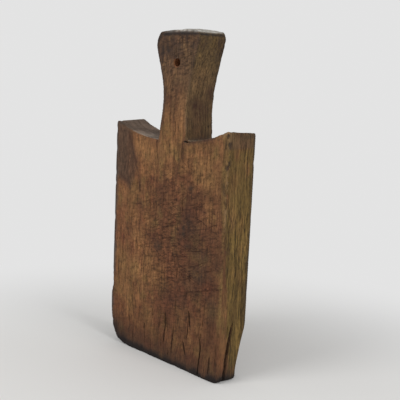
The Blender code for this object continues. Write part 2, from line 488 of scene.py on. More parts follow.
def carve_marks(points, normals, marks):
    """Slides points onto the marks' middles, and returns each point's depth and the painted shade in and
    beside the grooves, darker where they are deeper.
    """
    depth = np.zeros(len(points))
    dark = {"crack": np.zeros(len(points)), "cut": np.zeros(len(points))}
    for mark in marks:
        near = mark.near(points, normals, mark.half_width * 2.5)
        if not len(near):
            continue
        flat = points[near][:, (mark.across, 2)]
        distance, along, nearest = polyline_distance(flat, mark.points)
        taper = mark.taper(along)
        reach = mark.half_width * (0.35 + 0.65 * taper)
        central = near[distance < reach * 0.3]
        points[central[:, None], [mark.across, 2]] = nearest[distance < reach * 0.3]
        distance = np.where(distance < reach * 0.3, 0, distance)
        across = np.clip(1 - distance / reach, 0, 1)
        depth[near] = np.maximum(depth[near], mark.depth * taper * across ** 0.8)
        shade = dark[mark.kind]
        spread = np.clip(1.2 - distance / (reach * 1.7), 0, 1) * np.clip(taper * 1.4, 0, 1)
        shade[near] = np.maximum(shade[near], spread * min(1.0, 0.45 + 0.2 * mark.depth / MM))
    return depth, dark


def surface_relief(points, normals, corner):
    """The inward depth of the broad unevenness, the grain's ridges and the chipped edges."""
    x, y, z = points.T
    front = smoothstep(0.6, 0.9, -normals[:, 1])
    end = smoothstep(0.6, 0.9, np.abs(normals[:, 2]))
    body = smoothstep(0.262, 0.255, z)

    broad = np.clip(0.12 + 0.34 * noise3(points, (0.05, 0.05, 0.08), 11), 0, 1)
    broad += np.clip(0.05 + 0.12 * noise3(points, (0.017, 0.017, 0.034), 12), 0, 1)
    dished = np.exp(-((x - 0.012) / 0.062) ** 2 - ((z - 0.150) / 0.085) ** 2)
    broad += front * body * 0.7 * dished

    ridges = 0.09 * (1 + noise3(points, (0.0034, 0.0034, 0.04), 13))
    ridges += 0.07 * (1 + noise3(points, (0.0019, 0.0019, 0.018), 14))
    ridges *= 1 - end
    standing = smoothstep(-0.75, -0.95, normals[:, 2]) * smoothstep(0.003, 0.001, z)
    sawn = end * 0.12 * (1 + noise3(points, (0.0026, 0.02, 0.01), 15))
    sawn += end * 0.16 * (1 + noise3(points, (0.006, 0.006, 0.006), 16))
    rough_low = smoothstep(0.02, 0.0, z) * 0.2 * (1 + noise3(points, (0.004, 0.004, 0.008), 17))

    chips = np.clip(noise3(points, (0.006, 0.006, 0.006), 18) - 0.35, 0, 1) * 1.1
    chips += np.clip(noise3(points, (0.013, 0.013, 0.013), 19) - 0.55, 0, 1) * 2.2
    chips *= 1 - 0.7 * smoothstep(0.085, 0.09, x) * smoothstep(0.0, 0.01, y)
    chewed = smoothstep(-0.088, -0.091, x) * smoothstep(0.058, 0.066, z) * smoothstep(0.1, 0.088, z)
    chips += chewed * np.clip(noise3(points, (0.004, 0.01, 0.005), 21), 0, 1) * 1.8
    depth = fade(corner, 1.9 * MM) * chips + ragged_edge(points, corner) * 1.5
    for bite_x, bite_y, bite_z, reach, bite_depth in EDGE_BITES:
        offset = (points / MM - (bite_x, bite_y, bite_z)) / reach
        depth += bite_depth * np.exp(-np.sum(offset ** 2, axis=1))
    depth -= EDGE_PROUD * fade(corner, 9 * MM)
    # The front left and the back right edges have stayed the sharpest.
    sharp = smoothstep(0.0, 0.3, normals[:, 0] * normals[:, 1]) * smoothstep(0.02, 0.03, z)
    depth -= SHARP_PROUD * sharp * fade(corner, 3 * MM)
    depth -= TOP_PROUD * smoothstep(0.5, 0.9, normals[:, 2])
    return (depth + (1 - standing) * (broad + ridges + sawn + rough_low)) * MM


def ragged_edge(points, corner):
    """Pits along the upper front right edge, where the wood has crumbled, 0 to 1."""
    x, z = points[:, 0], points[:, 2]
    zone = smoothstep(0.082, 0.088, x) * smoothstep(0.0, -0.006, points[:, 1])
    zone *= smoothstep(0.18, 0.21, z) * np.exp(-(corner / (6 * MM)) ** 4)
    return zone * smoothstep(0.0, 0.4, noise3(points, (0.0036, 0.0036, 0.0042), 20))


def front_side(points):
    return smoothstep(-0.008, -0.016, points[:, 1])


def build_board():
    generator = random.Random(71)
    marks = drying_cracks() + short_checks(generator) + knife_cuts(generator)
    skin = cad_skin()
    tree = BVHTree.FromBMesh(skin)
    outline = middle_outline(skin)
    mesh = even_mesh(skin)
    settle(mesh.verts, tree)
    refine(mesh, tree, marks, outline, 5)
    data = bpy.data.meshes.new("old_board")
    mesh.to_mesh(data)
    mesh.free()
    skin.free()

    points, normals = arrays(data)
    edges = np.empty(len(data.edges) * 2, np.int64)
    data.edges.foreach_get("vertices", edges)
    edges = edges.reshape(-1, 2)
    corner = corner_distance(points, outline)
    near_corner = smoothstep(8 * MM, 4 * MM, corner)
    points = relax(points, edges, edge_wear(points) * near_corner, 8)
    put_points(data, points)

    points, normals = arrays(data)
    depth, dark = carve_marks(points, normals, marks)
    depth += surface_relief(points, normals, corner)
    points = np.clip(points - normals * depth[:, None], LOW, HIGH)
    put_points(data, points)
    masks = {**dark, **tone_masks(points, normals, marks), **edge_tones(points, normals, corner)}
    for name, values in masks.items():
        attribute = data.attributes.new(name, "FLOAT", "POINT")
        attribute.data.foreach_set("value", values.astype(np.float32))
    data.shade_smooth()
    data.set_sharp_from_angle(angle=math.radians(62))
    board = bpy.data.objects.new("old_board", data)
    bpy.context.scene.collection.objects.link(board)
    print("board mesh:", len(data.vertices), "points,", len(data.polygons), "triangles")
    return board


# ---- Tone: soft patches and streaks on each face, in millimetres ----

# Each patch: across, up, reach across, reach up, strength and, where it leans, the degrees
PATCHES = {
    ("front", "pale"): (
        (-38, 246, 24, 18, 0.95), (-8, 250, 11, 16, 0.7), (-56, 208, 12, 14, 0.5), (-78, 194, 9, 9, 0.5),
        (-76, 182, 12, 10, 0.35), (-58, 192, 12, 12, 0.45), (-43, 225, 15, 11, 0.95),
        (4, 223, 12, 9, 0.6), (28, 236, 13, 9, 0.6), (-58, 164, 18, 15, 0.55), (-34, 168, 14, 14, 0.6),
        (-46, 133, 20, 13, 0.55), (-68, 130, 12, 13, 0.55), (-46, 104, 26, 20, 0.65, 4),
        (-74, 112, 12, 22, 0.55), (-70, 78, 18, 15, 0.6), (-46, 72, 18, 14, 0.65),
        (-62, 56, 15, 15, 0.55), (-56, 41, 13, 11, 0.6), (-30, 56, 15, 20, 0.4), (32, 252, 8, 12, 0.55),
        (60, 241, 21, 16, 0.65), (64, 222, 10, 20, 0.7), (50, 222, 10, 8, 0.55), (66, 188, 7, 12, 0.5),
        (12, 188, 8, 14, 0.3), (20, 204, 9, 9, 0.4), (56, 86, 6, 4, 0.5), (31, 60, 8, 9, 0.5),
        (60, 56, 12, 12, 0.35), (91, 86, 5, 30, 0.45), (47, 44, 4, 6, 0.7), (4, 272, 14, 14, 0.65),
        (18, 296, 8, 22, 0.65), (-4, 285, 5, 12, 0.6), (-6, 324, 5, 7, 0.7), (8, 334, 2.6, 10, 1.0),
        (-28, 184, 5, 16, 0.5), (0, 110, 9, 14, 0.5), (12, 34, 4, 16, 0.4), (-60, 204, 8, 12, 0.4),
    ),
    ("front", "khaki"): (
        (18, 246, 5, 14, 0.6), (48, 233, 10, 14, 0.5), (52, 222, 10, 6, 0.6), (60, 258, 24, 6, 0.4),
        (-58, 200, 12, 14, 0.5), (-52, 182, 13, 4, 0.6), (-72, 104, 9, 17, 0.5), (-48, 104, 7, 8, 0.5),
        (-28, 118, 10, 14, 0.4), (-58, 60, 7, 16, 0.4), (-28, 52, 8, 14, 0.4), (26, 52, 8, 14, 0.5),
        (22, 26, 6, 14, 0.4), (78, 80, 10, 9, 0.7), (60, 150, 8, 5, 0.3), (52, 117, 14, 5, 0.5),
        (0, 88, 12, 12, 0.6), (-14, 30, 14, 10, 0.3), (6, 300, 4, 8, 0.5), (-10, 340, 4, 9, 0.5),
        (36, 348, 10, 20, 0.7), (-4, 379, 8, 3, 0.7), (16, 362, 14, 6, 0.4), (72, 226, 14, 26, 0.5),
        (-12, 100, 16, 20, 0.35),
    ),
    ("front", "red"): (
        (-4, 98, 38, 62, 0.35), (8, 84, 26, 12, 0.9), (-40, 176, 8, 14, 0.7), (-44, 219, 13, 6, 0.5, 20),
        (-26, 208, 18, 5, 0.5, 12), (-40, 186, 7, 10, 0.8), (20, 166, 12, 14, 0.9), (50, 147, 12, 8, 0.5),
        (4, 44, 13, 22, 0.45), (-78, 160, 10, 12, 0.6), (-76, 134, 8, 10, 0.6), (24, 220, 14, 6, 0.5),
        (20, 192, 6, 14, 0.4), (4, 178, 10, 10, 0.4), (-18, 153, 11, 9, 0.8), (30, 148, 15, 6, 0.7),
        (46, 142, 12, 4, 0.5), (10, 104, 9, 14, 0.6), (66, 104, 20, 5, 0.7, 12), (48, 78, 6, 7, 0.8),
        (8, 66, 14, 18, 0.6), (-46, 66, 12, 16, 0.5), (-78, 52, 12, 9, 0.6), (12, 40, 8, 18, 0.6),
        (30, 32, 6, 18, 0.5), (60, 20, 17, 12, 0.4), (-60, 26, 13, 8, 0.5), (50, 184, 12, 8, 0.5),
        (14, 322, 7, 12, 0.6), (-2, 305, 9, 7, 0.6), (0, 336, 5, 8, 0.6), (-14, 373, 5, 3, 0.9),
        (6, 371, 10, 5, 0.6), (8, 270, 6, 12, 0.3),
    ),
    ("front", "stain"): (
        (-20, 150, 8, 11, 0.85), (-8, 196, 8, 24, 0.6), (36, 176, 13, 30, 0.9),
        (54, 204, 15, 6, 0.75, 22), (58, 152, 20, 12, 0.5), (20, 178, 46, 30, 0.5),
        (42, 150, 28, 30, 0.75), (44, 116, 44, 28, 0.55), (52, 92, 38, 16, 0.5), (30, 50, 60, 36, 0.4),
        (20, 18, 78, 13, 0.7), (-24, 20, 70, 14, 0.45), (84, 158, 10, 26, 0.5), (84, 196, 9, 14, 0.35),
        (-8, 222, 2.5, 2.5, 0.9), (-8, 208, 3.5, 4, 0.9), (-3, 195, 2.5, 5, 0.8), (3, 203, 3, 2, 0.7),
        (31, 164, 3.5, 6, 1.0), (-18, 104, 7, 22, 0.25), (44, 182, 5, 3, 0.8, 30),
        (22, 158, 10, 14, 0.75), (8, 80, 16, 12, 0.75), (84, 34, 9, 12, 0.5), (-12, 198, 6, 20, 0.45),
        (82, 108, 10, 14, 0.65), (4, 40, 3, 12, 0.5), (-14, 146, 12, 9, 0.5), (74, 36, 20, 30, 0.6),
        (84, 168, 10, 22, 0.5), (14, 60, 14, 16, 0.4), (60, 114, 13, 9, 0.95), (80, 68, 11, 14, 0.65),
        (-6, 198, 6, 20, 0.7), (-40, 176, 8, 5, 0.7), (68, 172, 10, 8, 0.5), (40, 86, 30, 8, 0.4),
        (-60, 16, 24, 9, 0.6), (65, 30, 9, 28, 0.4), (-43, 181, 8, 4, 0.8), (-4, 214, 5, 8, 0.5),
        (-9, 363, 12, 8, 0.9, 30), (2, 356, 8, 5, 0.5), (14, 228, 4, 7, 0.5), (-14, 246, 7, 13, 0.55),
        (-8, 184, 8, 10, 0.6), (-66, 11, 5, 4, 1.0), (60, 203, 4, 4, 0.9), (-16, 184, 4, 4, 0.6),
        (-12, 176, 4, 3, 0.6), (20, 300, 30, 5, 0.2), (34, 372, 14, 6, 0.4),
    ),
    ("front", "iron"): (
        (56, 118, 14, 12, 0.7), (44, 100, 14, 8, 0.5), (24, 158, 8, 12, 0.5), (28, 80, 22, 8, 0.4),
        (82, 88, 8, 12, 0.5), (10, 146, 10, 7, 0.35), (-12, 139, 6.5, 6, 1.0), (60, 121, 14, 10, 0.7),
        (78, 84, 8, 12, 0.7), (62, 138, 15, 9, 0.7), (86, 134, 8, 10, 0.5), (72, 160, 14, 8, 0.4),
        (40, 143, 9, 4, 0.6), (31, 164, 4.5, 11, 1.0), (42, 170, 16, 12, 0.6), (40, 208, 3.6, 3.6, 1.0),
        (75, 118, 5, 5, 0.7), (70, 92, 4, 5, 0.6), (10, 322, 8, 10, 0.25), (-9, 364, 9, 8, 1.0),
        (60, 190, 5, 4, 0.4),
    ),
    ("right", "pale"): (
        (2, 122, 10, 8, 0.3), (-10, 40, 6, 18, 0.8), (8, 150, 8, 10, 0.4), (-8, 225, 8, 14, 0.7),
        (-7, 190, 5, 16, 0.7), (4, 176, 5, 10, 0.4), (-11, 85, 5, 14, 0.5), (-6, 346, 14, 22, 0.9),
        (-9, 326, 8, 6, 0.7), (-2, 272, 7, 9, 0.9),
    ),
    ("right", "red"): (
        (4, 262, 12, 6, 0.8), (-4, 254, 4, 8, 0.7), (8, 240, 4, 8, 0.7), (-18, 207, 6, 8, 0.8),
        (8, 112, 4, 10, 0.3), (0, 10, 8, 6, 0.6), (-3, 44, 3, 6, 0.4), (-4, 286, 6, 10, 0.4),
    ),
    ("right", "stain"): (
        (-9, 176, 6, 5, 0.45), (-18, 160, 5, 22, 0.9), (0, 226, 30, 34, 0.22), (12, 256, 6, 8, 0.3),
        (3, 82, 6, 22, 0.35), (-5, 254, 6, 10, 0.4), (-18, 130, 4, 20, 0.5), (-14, 226, 5, 12, 0.4),
        (-6, 304, 10, 9, 1.0), (2, 298, 13, 11, 1.0), (-4, 280, 10, 12, 0.6), (14, 316, 6, 7, 0.9),
        (-20, 282, 4, 6, 0.9), (16, 368, 10, 10, 0.7), (-14, 371, 10, 7, 0.5), (0, 4, 22, 4, 0.6),
    ),
    ("right", "iron"): (
        (14, 271, 14, 4, 0.6), (17, 350, 7, 24, 0.5), (16, 100, 4, 12, 0.3),
    ),
    ("left", "pale"): (
        (4, 170, 12, 40, 0.5), (-6, 90, 10, 26, 0.5), (0, 330, 12, 20, 0.5),
    ),
    ("left", "red"): (
        (6, 226, 6, 14, 0.6), (-8, 130, 5, 16, 0.5), (4, 300, 8, 10, 0.4),
    ),
    ("left", "stain"): (
        (8, 140, 7, 20, 0.6), (-10, 200, 6, 20, 0.6), (0, 40, 16, 18, 0.5), (4, 366, 16, 14, 0.8),
        (-6, 284, 10, 12, 0.7),
    ),
    ("back", "pale"): (
        (-50, 140, 26, 50, 0.6), (44, 190, 26, 40, 0.6), (6, 96, 26, 30, 0.5), (-30, 246, 28, 16, 0.7),
        (60, 70, 20, 26, 0.5), (8, 310, 10, 22, 0.5),
    ),
    ("back", "khaki"): (
        (-70, 200, 14, 26, 0.6), (20, 150, 12, 20, 0.5), (74, 130, 12, 30, 0.5),
    ),
    ("back", "red"): (
        (-10, 176, 14, 18, 0.6), (52, 110, 16, 12, 0.6), (-66, 100, 10, 16, 0.5), (20, 230, 16, 8, 0.6),
        (-34, 40, 14, 16, 0.5), (4, 340, 8, 12, 0.5),
    ),
    ("back", "stain"): (
        (-20, 200, 30, 26, 0.55, 10), (36, 132, 34, 22, 0.6, -8), (-46, 70, 26, 36, 0.45),
        (20, 36, 60, 22, 0.5), (8, 356, 30, 20, 0.7), (62, 224, 14, 22, 0.5),
    ),
    ("back", "iron"): (
        (-24, 150, 8, 7, 0.9), (66, 176, 7, 12, 0.7), (-78, 60, 8, 14, 0.6),
    ),
}

# Streaks along the grain: the points, half the width and the strength
STREAKS = {
    ("front", "stain"): (
        (((-68, 263), (-64, 248), (-58, 236), (-53, 224), (-48, 212), (-46, 198)), 2.4, 0.95),
        (((-86, 214), (-79, 210), (-73, 206), (-67, 204)), 1.5, 0.9),
        (((-84, 203), (-77, 200.6), (-70, 203)), 1.0, 0.5),
        (((24, 261), (24, 246), (17, 233), (15, 221)), 2.0, 0.8),
        (((-5, 224), (-6, 206), (-6, 186)), 2.0, 0.7), (((-18, 190), (-14, 176), (-9, 162)), 2.0, 0.6),
        (((5, 140), (7, 110), (5, 84)), 2.4, 0.5), (((21, 130), (21.6, 104), (21, 60)), 1.8, 0.6),
        (((7, 100), (8, 80), (6, 50)), 2.0, 0.5), (((-38, 60), (-37, 30), (-40, 8)), 1.6, 0.4),
        (((7, 262), (8, 280), (7, 296)), 1.4, 0.5),
    ),
    ("front", "red"): (
        (((-72, 246), (-67, 236), (-61, 224), (-54, 212)), 3.0, 0.7),
    ),
    ("front", "pale"): (
        (((46.6, 52), (46.4, 44), (49, 36)), 1.2, 1.0), (((20.6, 262), (21, 284), (22, 318)), 2.6, 0.7),
    ),
    ("right", "stain"): (
        (((-14, 190), (-8, 178), (-3, 180)), 1.4, 0.8),
        (((-15, 275), (-16, 250), (-15, 226)), 1.6, 0.5), (((2, 276), (2, 250), (0, 214)), 1.2, 0.4),
    ),
    ("left", "stain"): (
        (((2, 262), (3, 200), (0, 150)), 1.4, 0.6),
    ),
    ("back", "stain"): (
        (((40, 262), (44, 236), (52, 210), (54, 180)), 2.2, 0.8),
        (((-24, 262), (-26, 220), (-22, 180)), 1.8, 0.6), (((8, 180), (10, 120), (7, 60)), 2.2, 0.6),
        (((-60, 190), (-62, 140)), 1.6, 0.5),
    ),
}


def patches(across, up, rows):
    """The strongest of some soft patches at each point of a face."""
    total = np.zeros(len(across))
    for centre_across, centre_up, reach_across, reach_up, strength, *lean in rows:
        turn = math.radians(sum(lean))
        right = across / MM - centre_across
        above = up / MM - centre_up
        along = (right * math.cos(turn) + above * math.sin(turn)) / reach_across
        beside = (above * math.cos(turn) - right * math.sin(turn)) / reach_up
        level = np.exp(-(along ** 2 + beside ** 2) ** 1.2)
        total = np.maximum(total, strength * level)
    return total


def tone_masks(points, normals, marks):
    """The masks of tone, with ragged edges, the weathered corner and the chopped middle."""
    stray = 3.5 * MM * noise3(points, (0.012, 0.012, 0.03), 31)
    stray += 2.0 * MM * noise3(points, (0.005, 0.005, 0.012), 32)
    lift = 5 * MM * noise3(points, (0.011, 0.011, 0.025), 33)
    strayed = points + np.column_stack((stray, stray, lift))
    cover = {
        "front": smoothstep(0.2, 0.8, -normals[:, 1]),
        "back": smoothstep(0.2, 0.8, normals[:, 1]),
        "right": smoothstep(0.3, 0.8, normals[:, 0]),
        "left": smoothstep(0.3, 0.8, -normals[:, 0]),
    }
    masks = {name: np.zeros(len(points)) for _, name in PATCHES}
    for (face, name), rows in PATCHES.items():
        level = cover[face] * patches(strayed[:, FACES[face][0]], strayed[:, 2], rows)
        masks[name] = np.maximum(masks[name], level)
    for (face, name), rows in STREAKS.items():
        flat = points[:, (FACES[face][0], 2)] / MM + stray[:, None] * 250
        for line, half_width, strength in rows:
            distance = polyline_distance(flat, line)[0]
            level = cover[face] * strength * fade(distance, half_width)
            masks[name] = np.maximum(masks[name], level)
    # The stain mask also darkens the face a little around each deep crack.
    for mark in marks:
        if mark.kind == "crack" and mark.depth > 1.0 * MM:
            near = mark.near(points, normals, 6 * MM)
            distance, along, _ = polyline_distance(points[near][:, (mark.across, 2)], mark.points)
            halo = 0.8 * fade(distance, 2.2 * MM) * mark.taper(along)
            masks["stain"][near] = np.maximum(masks["stain"][near], halo)

    # The front face's right strip has the sides' olive tint, and low down the right side has
    # the front's brown as far as its crack.
    x, y, z = strayed.T
    left_bound = 0.0865 - 0.005 * smoothstep(0.17, 0.22, z)
    strip = smoothstep(left_bound, left_bound + 0.006, x)
    strip *= smoothstep(0.045, 0.07, z) * smoothstep(0.30, 0.27, z)
    masks["khaki"] = np.maximum(masks["khaki"], cover["front"] * 0.9 * strip)
    reach = -0.019 + 0.012 * smoothstep(0.15, 0.06, z)
    masks["wrap"] = cover["right"] * smoothstep(0.0015, -0.0015, y - reach) * smoothstep(0.26, 0.2, z)

    # The weathered zone lies left of a curved streak in the grain, in the upper left corner.
    boundary = -0.066 + 0.40 * np.clip(0.263 - z, 0, 0.030) - 0.6 * np.clip(0.222 - z, 0, 0.028)
    grey = smoothstep(0.006, -0.008, x - boundary)
    grey *= smoothstep(0.198, 0.207, z + 0.45 * (x + 0.078))
    grey *= 0.75 + 0.25 * smoothstep(-0.066, -0.078, x)
    grey *= 1 - cover["left"] * smoothstep(0.262, 0.200, z + 1.5 * stray) * 0.9
    masks["grey"] = grey * smoothstep(0.30, 0.28, z) * (1 - 0.8 * cover["back"])

    from_axis = np.hypot(points[:, 0] - HOLE_X, points[:, 2] - HOLE_Z)
    masks["bore"] = smoothstep(5.6 * MM, 4.8 * MM, from_axis)

    chopped = np.exp(-(((x - 0.028) / 0.066) ** 2 + ((z - 0.145) / 0.085) ** 2) ** 1.5)
    broad = cover["front"] + 0.6 * cover["back"]
    chopped = broad * (0.25 + 0.75 * chopped)
    masks["chopped"] = chopped + 0.2 * smoothstep(0.27, 0.3, z) + 0.4 * smoothstep(0.32, 0.35, z)
    return masks


def edge_tones(points, normals, corner):
    """Where the edges are worn tan and bleached grey, both with painted highlights, where a painted grey
    sheen lies, and where grime and painted shade darken them.
    """
    x, z = points[:, 0], points[:, 2]
    front = front_side(points)
    left, right = smoothstep(-0.08, -0.086, x), smoothstep(0.08, 0.086, x)
    on_handle = smoothstep(0.268, 0.28, z)
    head = smoothstep(0.366, 0.374, z)
    below = below_crest(points)
    uneven = noise3(points, (0.005, 0.005, 0.009), 41)
    wide = (1 + 0.35 * noise3(points, (0.01, 0.01, 0.012), 42)) * MM
    on_edge = fade(corner, 2.4 * wide)
    broad_edge = fade(corner, 3.2 * wide)
    pitted = ragged_edge(points, corner)

    # Worn tan along the handle's front edges and the upper front right edge, with a painted highlight on
    # them.
    rub_and_highlight = 0.12 + 0.5 * on_handle * front * smoothstep(0.345, 0.33, z) * smoothstep(0, 0.01, x)
    rub_and_highlight += 0.5 * right * front * smoothstep(0.165, 0.19, z)
    # A pale band along the head's top edge: bleached wood with a painted highlight, stronger on the
    # front.
    bleach_and_highlight = fade(np.maximum(below, 0), 1.9 * wide) * head * (0.6 + 0.4 * front)
    bleach_and_highlight *= smoothstep(-0.02, 0.01, x)
    # A painted grey sheen along the left front edge, below the handle.
    grey_sheen = np.exp(-(corner / (4.4 * wide)) ** 4) * left * front * (1 - on_handle)
    grey_sheen *= smoothstep(-0.5, 0.3, noise3(points, (0.006, 0.006, 0.016), 43)) * 0.85
    grey_sheen *= smoothstep(0.03, 0.06, z)

    # The foot is darkest, and it is dark furthest up at the left.
    foot_level = z + 0.0020 * uneven - 0.005 * smoothstep(0.0, -0.06, x)
    foot_level += 0.0030 * noise3(points, (0.012, 0.012, 0.02), 44)
    foot_level -= 0.0012 * smoothstep(0.02, 0.08, x)
    low_left = np.exp(-np.hypot((x + 0.094) / 0.020, (z - 0.006) / 0.026) ** 3)
    rim = fade(below - 3.4 * MM, 1.4 * wide) * head * smoothstep(0.75, 0.5, normals[:, 2])
    right_shoulder = smoothstep(0.026, 0.03, x) * smoothstep(0.08, 0.06, x)
    right_shoulder *= smoothstep(0.257, 0.262, z)
    roots = np.maximum(fade(np.hypot(x + 0.0161, z - 0.2603), 4.5 * MM),
                       fade(np.hypot(x - 0.0282, z - 0.2626), 4.5 * MM))
    # Darker at the foot, the lower left corner, the crumbled pits and under the head's top edge; painted
    # shade along the left, right and handle edges, the right shoulder's edges and the handle's inner root
    # corners.
    dirt_and_shade = np.max((
        0.75 * smoothstep(0.016, 0.005, foot_level),
        0.35 * smoothstep(0.028, 0.008, foot_level),
        0.95 * low_left,
        0.8 * fade(corner, 2.5 * wide) * left * (1 - on_handle),
        0.75 * broad_edge * right * (1 - front),
        rim * (0.95 + 0.5 * uneven),
        0.7 * broad_edge * on_handle * smoothstep(0.01, 0.0, x),
        0.7 * broad_edge * on_handle * (1 - front),
        0.6 * on_edge * right_shoulder,
        0.8 * roots * (0.4 + 0.6 * (1 - front)),
        0.9 * pitted,
    ), axis=0)
    foot = np.max((0.9 * smoothstep(0.0080, 0.0030, foot_level), 0.85 * low_left, 0.6 * rim), axis=0)
    tones = {
        "rub_and_highlight": rub_and_highlight * (0.85 + 0.7 * uneven) * on_edge * (1 - pitted),
        "bleach_and_highlight": bleach_and_highlight * (0.9 + 0.5 * uneven),
        "dirt_and_shade": dirt_and_shade,
        "foot": foot,
        "grey_sheen": grey_sheen,
    }
    return {name: np.clip(values, 0, 1) for name, values in tones.items()}


# ---- Materials ----

class Nodes:
    """Adds nodes to a material or world. An input is a socket to link or a plain value to set."""

    def __init__(self, owner):
        self.tree = owner.node_tree

    def add(self, kind, inputs, output=0, **settings):
        node = self.tree.nodes.new(kind)
        for name, value in settings.items():
            setattr(node, name, value)
        for name, value in inputs.items():
            if isinstance(value, bpy.types.NodeSocket):
                self.tree.links.new(value, node.inputs[name])
            else:
                node.inputs[name].default_value = value
        return node.outputs[output]

    def math(self, operation, first, second=0.0, clamp=False):
        return self.add("ShaderNodeMath", {0: first, 1: second}, operation=operation, use_clamp=clamp)

    def times(self, *factors):
        return functools.reduce(lambda first, second: self.math("MULTIPLY", first, second), factors)

    def plus(self, *terms):
        return functools.reduce(lambda first, second: self.math("ADD", first, second), terms)

    def larger(self, first, second, clamp=False):
        return self.math("MAXIMUM", first, second, clamp)

    def spread(self, value, low, high, to_low=0.0, to_high=1.0):
        """A smooth step from to_low to to_high as the value goes from low to high."""
        inputs = {0: value, 1: low, 2: high, 3: to_low, 4: to_high}
        return self.add("ShaderNodeMapRange", inputs, interpolation_type="SMOOTHSTEP")

    def vector(self, operation, first, second, output=0):
        inputs = {0: first, 1: second}
        return self.add("ShaderNodeVectorMath", inputs, output, operation=operation)

    def stretch(self, vector, scale):
        return self.vector("MULTIPLY", vector, scale)

    def tilt(self, vector, degrees):
        """The vector turned about Y, so that a pattern leans that far from the horizontal."""
        inputs = {"Vector": vector, "Angle": math.radians(degrees)}
        return self.add("ShaderNodeVectorRotate", inputs, rotation_type="Y_AXIS")

    def noise(self, vector, scale, detail=2.0, roughness=0.5):
        inputs = {"Vector": vector, "Scale": scale, "Detail": detail, "Roughness": roughness}
        return self.add("ShaderNodeTexNoise", inputs)

    def mix(self, amount, first, second):
        inputs = {0: amount, 6: first, 7: second}
        return self.add("ShaderNodeMix", inputs, output=2, data_type="RGBA")

    def shade(self, colour, level):
        """The colour multiplied by a level."""
        grey = self.add("ShaderNodeCombineColor", {0: level, 1: level, 2: level})
        inputs = {0: 1.0, 6: colour, 7: grey}
        return self.add("ShaderNodeMix", inputs, output=2, data_type="RGBA", blend_type="MULTIPLY")

    def mask(self, name, strength=1.0):
        """One of the mesh's own masks."""
        value = self.add("ShaderNodeAttribute", {}, output=2, attribute_name=name)
        return self.times(value, strength)


# Linear colours
MID_BROWN = (0.121, 0.052, 0.0235, 1)
GOLDEN = (0.262, 0.128, 0.050, 1)
REDDISH = (0.140, 0.048, 0.024, 1)
KHAKI = (0.160, 0.098, 0.034, 1)
STAIN = (0.040, 0.0166, 0.0125, 1)
IRON_GREY = (0.036, 0.026, 0.019, 1)
WEATHERED = (0.080, 0.046, 0.029, 1)
OLIVE = (0.114, 0.074, 0.0210, 1)
HANDLE_BROWN = (0.094, 0.055, 0.029, 1)
END_GRAIN = (0.180, 0.126, 0.092, 1)
END_CREAM = (0.265, 0.222, 0.182, 1)
HEAD_END = (0.300, 0.280, 0.245, 1)
RUBBED_AND_HIGHLIGHT = (0.250, 0.155, 0.080, 1)
BLEACHED_AND_HIGHLIGHT = (0.520, 0.500, 0.460, 1)
SCRATCH_AND_GROOVE_SHADE = (0.034, 0.014, 0.009, 1)
CRACK_SHADE = (0.010, 0.0055, 0.0035, 1)
FOOT_BLACK = (0.013, 0.011, 0.011, 1)
SHEEN_GREY = (0.086, 0.075, 0.066, 1)
BORE = (0.220, 0.085, 0.036, 1)
GRIME_AND_SHADE = (0.027, 0.020, 0.018, 1)

# Coats over the ground colour: the mask, the colour, the strength, and the two levels of the speck
# noise between which the coat grows from a least share to its whole strength
# Of these coats, the first holds a painted highlight, the second is a painted sheen, the third holds
# painted shade as well as grime, and the cut and crack coats are painted shade in their grooves.
COATS = (
    ("bleach_and_highlight", BLEACHED_AND_HIGHLIGHT, 0.85, (0.35, 0.55, 0.45)),
    ("grey_sheen", SHEEN_GREY, 0.8, (0.35, 0.55, 0.5)),
    ("dirt_and_shade", GRIME_AND_SHADE, 0.92, (0.3, 0.55, 0.7)),
    ("foot", FOOT_BLACK, 1.0, None),
    ("bore", BORE, 0.85, None),
    ("cut", SCRATCH_AND_GROOVE_SHADE, 1.0, (0.36, 0.6, 0.4)),
    ("crack", CRACK_SHADE, 1.0, None),
)


def scratches(n, place, degrees, scale):
    """Fine straight scratches, at an angle to the horizontal, in loose groups."""
    turned = n.tilt(place, degrees)
    lines = n.noise(n.stretch(turned, (0.05, 0.3, 1)), scale, 1, 0.4)
    groups = n.noise(n.stretch(turned, (0.5, 1, 1)), scale / 14, 2)
    return n.times(n.spread(lines, 0.60, 0.67), n.spread(groups, 0.46, 0.56))


def wood_noises(n, place):
    """The noise that the wood's colour and relief share."""
    # The fibres waver slowly along the plank.
    sway = n.add("ShaderNodeTexNoise", {"Vector": place, "Scale": 16.0, "Detail": 2.0}, "Color")
    sway = n.stretch(n.vector("SUBTRACT", sway, (0.5, 0.5, 0.5)), (0.007, 0.007, 0.0))
    grain = n.vector("ADD", place, sway)

    # Growth rings about a pith behind the plank
    radius = n.vector("DISTANCE", n.stretch(grain, (1, 1, 0)), (-0.055, 0.13, 0.0), "Value")
    rings = {"W": n.times(radius, 420.0), "Scale": 1.0, "Detail": 2.0}
    elsewhere = n.vector("ADD", place, (3.1, 1.7, 4.3))
    return SimpleNamespace(
        fibre=n.noise(n.stretch(grain, (1, 1, 0.075)), 760, 4, 0.6),
        hair=n.noise(n.stretch(grain, (1, 1, 0.12)), 1900, 3, 0.6),
        broad=n.noise(n.stretch(grain, (1, 1, 0.08)), 170, 4, 0.6),
        bundle=n.noise(n.stretch(grain, (1, 1, 0.085)), 360, 3, 0.6),
        pore=n.spread(n.noise(n.stretch(grain, (1, 1, 0.10)), 1600, 1, 0.4), 0.58, 0.68),
        ring=n.add("ShaderNodeTexNoise", rings, noise_dimensions="1D"),
        mottle=n.noise(n.stretch(place, (1, 1, 0.5)), 40, 4, 0.6),
        tint=n.noise(n.stretch(elsewhere, (1, 1, 0.6)), 64, 4, 0.62),
        speck=n.noise(n.stretch(place, (1, 1, 0.7)), 240, 4, 0.65),
    )


